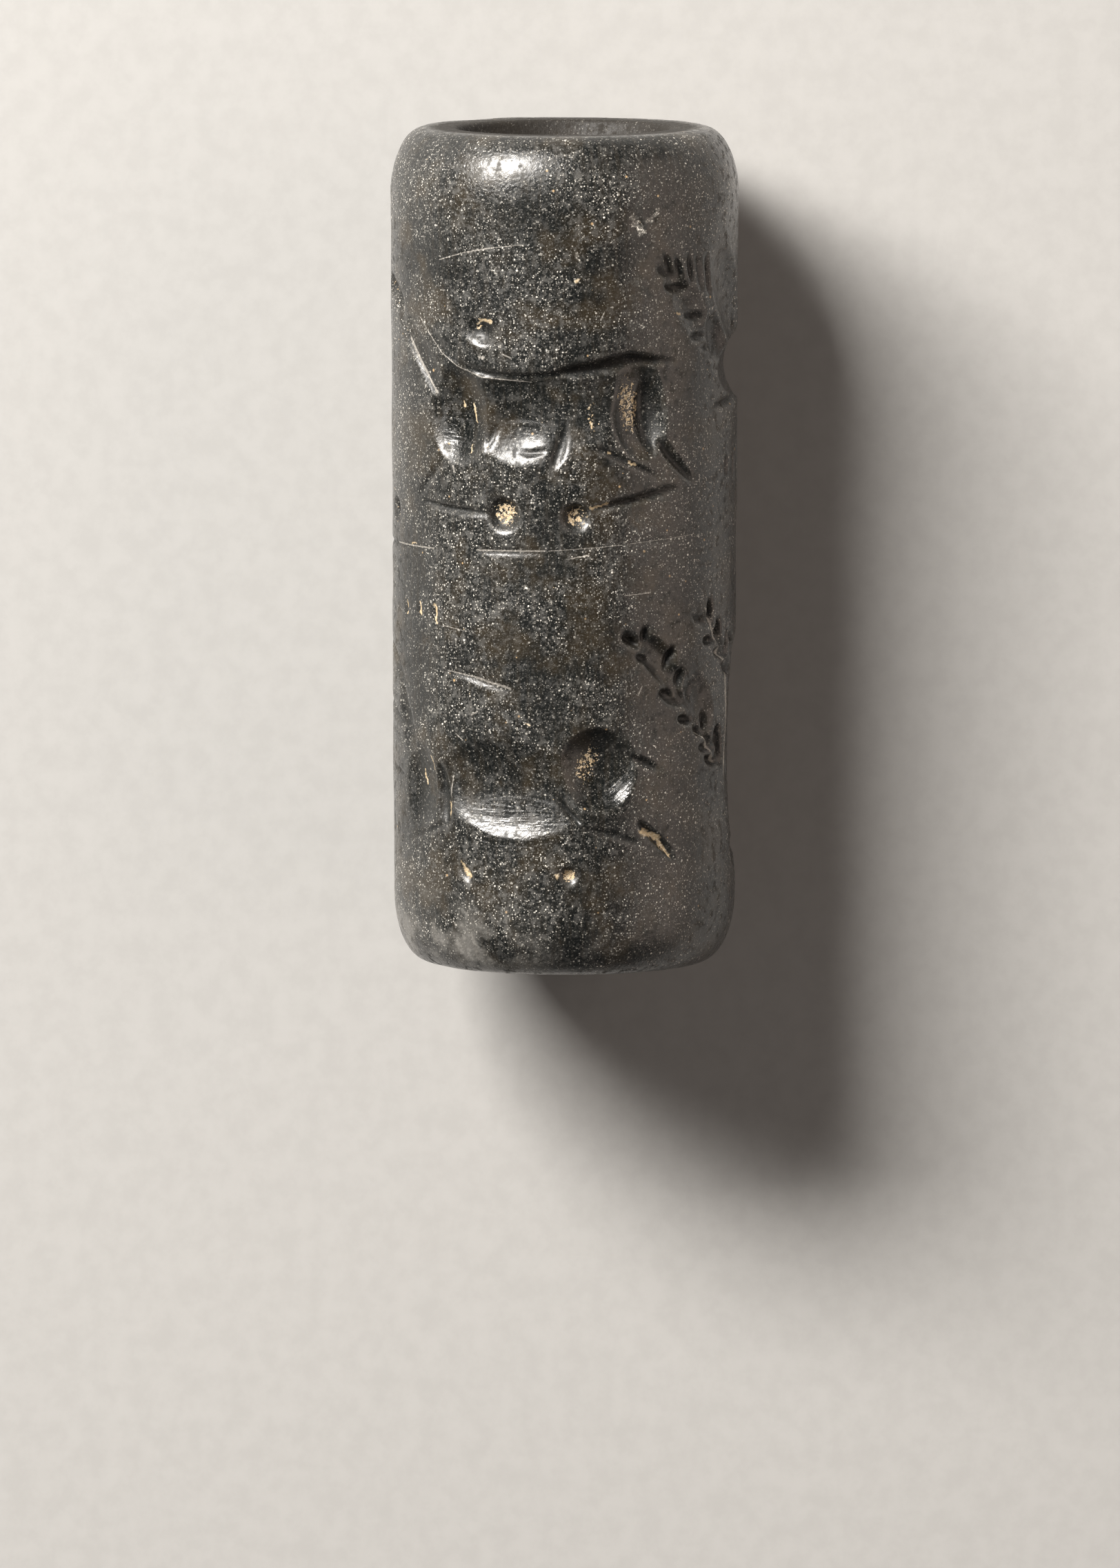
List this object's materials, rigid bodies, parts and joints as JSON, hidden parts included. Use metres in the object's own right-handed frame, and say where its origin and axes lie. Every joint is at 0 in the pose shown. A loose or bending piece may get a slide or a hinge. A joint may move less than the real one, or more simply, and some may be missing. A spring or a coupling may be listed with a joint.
{
  "type": "cylinder seal",
  "caption": "Dark stone cylinder seal bored through its length, carved all round with goats, a spread eagle and leafy plants.",
  "frame": {"origin": "middle of the footprint on the table, under the lying seal", "axes": "+X along the seal's axis towards the top end of the carved scene, +Z up through the front of the scene, +Y to the left of the front as seen from above with +X upwards"},
  "size_m": [0.0376, 0.0156, 0.0156],
  "materials": {
    "stone": "polished dark grey-green stone with fine pale speckles"
  },
  "bodies": {
    "root": {"seal": "stone"}
  },
  "joints": []
}
